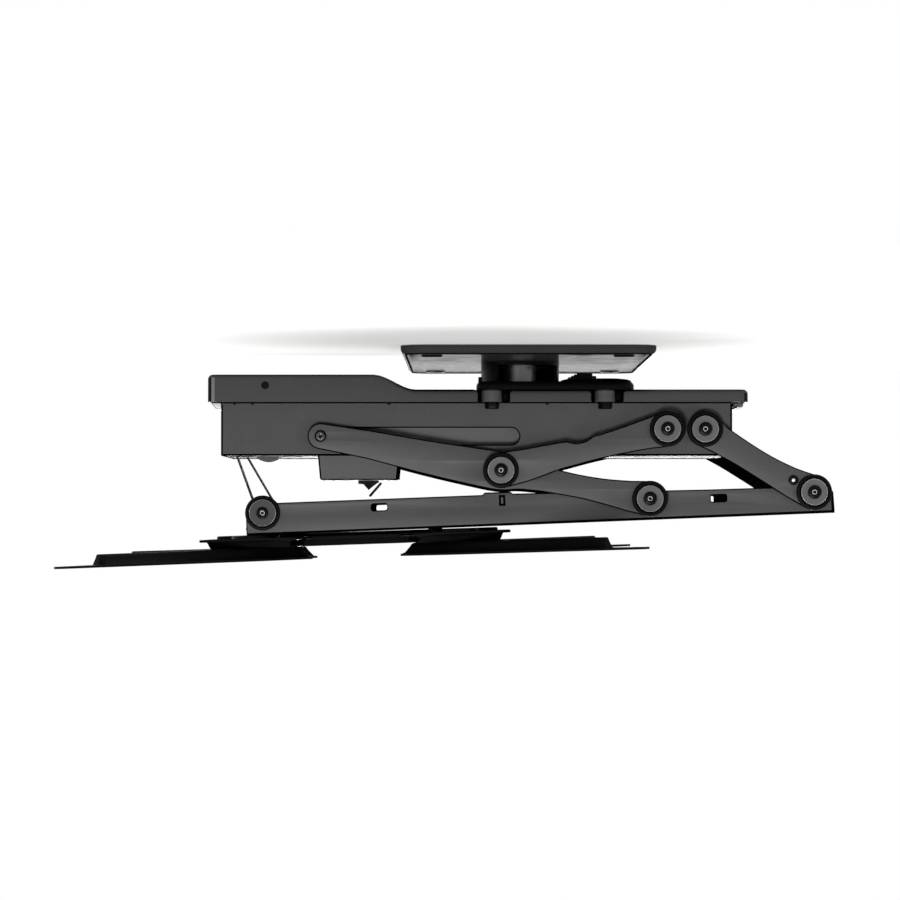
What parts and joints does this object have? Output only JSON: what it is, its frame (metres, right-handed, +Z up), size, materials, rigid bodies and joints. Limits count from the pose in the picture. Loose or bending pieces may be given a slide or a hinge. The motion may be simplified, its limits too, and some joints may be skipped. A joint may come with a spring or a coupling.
{
  "type": "motorized tv ceiling mount",
  "caption": "Flip-down ceiling mount: a swivelling chassis, a scissor linkage lowered by a motor and belt, and a folding frame with pivoting brackets for a flat television.",
  "frame": {"origin": "on the ceiling plane at the swivel axis", "axes": "+X along the mount toward the frame's hinge end, +Y across it, +Z up, out of the ceiling plate"},
  "size_m": [0.7692, 0.42, 0.2189],
  "materials": {
    "black_powder_coat": "satin black powder coat on steel",
    "cover_plastic": "fine-textured black ABS",
    "cap_rubber": "matt black nylon ring with a grey steel washer",
    "dark_steel": "black-oxide and zinc-plated fasteners and rods",
    "nylon": "natural nylon",
    "pale_plastic": "pale satin strip",
    "belt_webbing": "woven black belt",
    "circuit": "green circuit laminate",
    "motor_metal": "zinc-plated motor can"
  },
  "bodies": {
    "ceiling": {"ceiling_plate": "black_powder_coat", "swivel_post": "black_powder_coat", "post_screws": "dark_steel", "swivel_bush": "cap_rubber", "swivel_lock_screw": "dark_steel"},
    "chassis": {"swivel_spindle": "motor_metal", "turntable_dish": "black_powder_coat", "inlet_housing": "cover_plastic", "chassis_box": "black_powder_coat", "guide_channels": "black_powder_coat", "top_cover": "cover_plastic", "end_lip": "pale_plastic", "cover_screws": "dark_steel", "hanger_bosses": "black_powder_coat", "hanger_bolts": "dark_steel", "chassis_pins": "dark_steel", "chassis_caps": "cap_rubber", "control_box": "cover_plastic", "circuit_board": "circuit", "limit_switch": "cover_plastic", "gearbox": "motor_metal", "gear_motor": "motor_metal", "belt_anchor": "dark_steel"},
    "lift_arms": {"lift_arm_near": "black_powder_coat", "lift_arm_far": "black_powder_coat", "middle_rod": "dark_steel", "middle_caps": "cap_rubber"},
    "long_arms": {"long_arm_near": "black_powder_coat", "long_arm_far": "black_powder_coat", "slide_screws": "dark_steel"},
    "link_arms": {"link_arm_near": "black_powder_coat", "link_arm_far": "black_powder_coat", "link_caps": "cap_rubber"},
    "frame": {"rail_near": "black_powder_coat", "rail_far": "black_powder_coat", "frame_rod": "dark_steel", "end_rod": "dark_steel", "frame_caps": "cap_rubber", "roller_shaft": "dark_steel", "cross_plates": "black_powder_coat"},
    "carriage": {"guide_carriage": "dark_steel", "guide_rollers": "nylon"},
    "belt": {"belt_loop": "belt_webbing", "belt_legs": "belt_webbing"},
    "roller": {"belt_roller": "cap_rubber"},
    "spool": {"spool_shaft": "dark_steel", "winding_spool": "cap_rubber", "belt_turns": "belt_webbing"},
    "lever": {"switch_lever": "dark_steel"},
    "tv_mount": {"tv_plate": "black_powder_coat", "level_bolts": "dark_steel", "bracket_bolts": "dark_steel"},
    "bracket_1": {"bracket_near_left": "black_powder_coat", "crown_near_left": "black_powder_coat"},
    "bracket_2": {"bracket_near_right": "black_powder_coat", "crown_near_right": "black_powder_coat"},
    "bracket_3": {"bracket_far_left": "black_powder_coat", "crown_far_left": "black_powder_coat"},
    "bracket_4": {"bracket_far_right": "black_powder_coat", "crown_far_right": "black_powder_coat"}
  },
  "joints": [
    {"name": "swivel", "type": "hinge", "parent": "ceiling", "child": "chassis", "pos_m": [0, 0, -0.02], "axis": [0, 0, 1], "range_deg": [-45, 45]},
    {"name": "frame_drop", "type": "hinge", "parent": "chassis", "child": "lift_arms", "pos_m": [0.1457, 0, -0.078], "axis": [0, -1, 0], "range_deg": [0, 54.16]},
    {"name": "long_arm_turn", "type": "hinge", "parent": "lift_arms", "child": "long_arms", "pos_m": [-0.0206, 0, -0.1193], "axis": [0, -1, 0], "range_deg": [-99.2, 0]},
    {"name": "frame_turn", "type": "hinge", "parent": "long_arms", "child": "frame", "pos_m": [0.12844, 0, -0.14761], "axis": [0, -1, 0], "range_deg": [0, 120.04]},
    {"name": "link_turn", "type": "hinge", "parent": "chassis", "child": "link_arms", "pos_m": [0.1838, 0, -0.078], "axis": [0, -1, 0], "range_deg": [-50.94, 0]},
    {"name": "carriage_slide", "type": "slide", "parent": "chassis", "child": "carriage", "axis": [1, 0, 0], "range_m": [0, 0.1797]},
    {"name": "belt_run", "type": "slide", "parent": "chassis", "child": "belt", "axis": [0.5047, 0, -0.8633], "range_m": [0, 0.6715], "deforming": ["belt_loop", "belt_legs"]},
    {"name": "roller_spin", "type": "hinge", "parent": "frame", "child": "roller", "pos_m": [-0.25934, 0, -0.16076], "axis": [0, -1, 0], "range_deg": [-3699.88, 0]},
    {"name": "spool_spin", "type": "hinge", "parent": "chassis", "child": "spool", "pos_m": [-0.259, 0, -0.0913], "axis": [0, -1, 0], "range_deg": [-5919.2, 0]},
    {"name": "switch_press", "type": "hinge", "parent": "chassis", "child": "lever", "pos_m": [-0.1402, 0, -0.1294], "axis": [0, 1, 0], "range_deg": [0, 12], "stiffness_Nm_per_rad": 0.05, "springref_deg": -17.19},
    {"name": "level", "type": "hinge", "parent": "frame", "child": "tv_mount", "pos_m": [-0.16698, 0, -0.18444], "axis": [-0.0339, 0, 0.9994], "range_deg": [-3, 3]},
    {"name": "bracket_1_swing", "type": "hinge", "parent": "tv_mount", "child": "bracket_1", "pos_m": [-0.2676, -0.062, -0.19736], "axis": [-0.0339, 0, 0.9994], "range_deg": [-10, 10]},
    {"name": "bracket_2_swing", "type": "hinge", "parent": "tv_mount", "child": "bracket_2", "pos_m": [-0.06572, -0.062, -0.19051], "axis": [-0.0339, 0, 0.9994], "range_deg": [-10, 10]},
    {"name": "bracket_3_swing", "type": "hinge", "parent": "tv_mount", "child": "bracket_3", "pos_m": [-0.2676, 0.062, -0.19736], "axis": [-0.0339, 0, 0.9994], "range_deg": [-10, 10]},
    {"name": "bracket_4_swing", "type": "hinge", "parent": "tv_mount", "child": "bracket_4", "pos_m": [-0.06572, 0.062, -0.19051], "axis": [-0.0339, 0, 0.9994], "range_deg": [-10, 10]}
  ],
  "couplings": [
    {"joint": "long_arm_turn", "follows": "frame_drop", "ratio": -1.8312},
    {"joint": "frame_turn", "follows": "frame_drop", "ratio": 2.2161},
    {"joint": "link_turn", "follows": "frame_drop", "ratio": -0.94012},
    {"joint": "carriage_slide", "follows": "frame_drop", "m_per_rad": 0.19001},
    {"joint": "belt_run", "follows": "frame_drop", "m_per_rad": 0.7103},
    {"joint": "roller_spin", "follows": "frame_drop", "ratio": -68.298},
    {"joint": "spool_spin", "follows": "frame_drop", "ratio": -109.28}
  ]
}
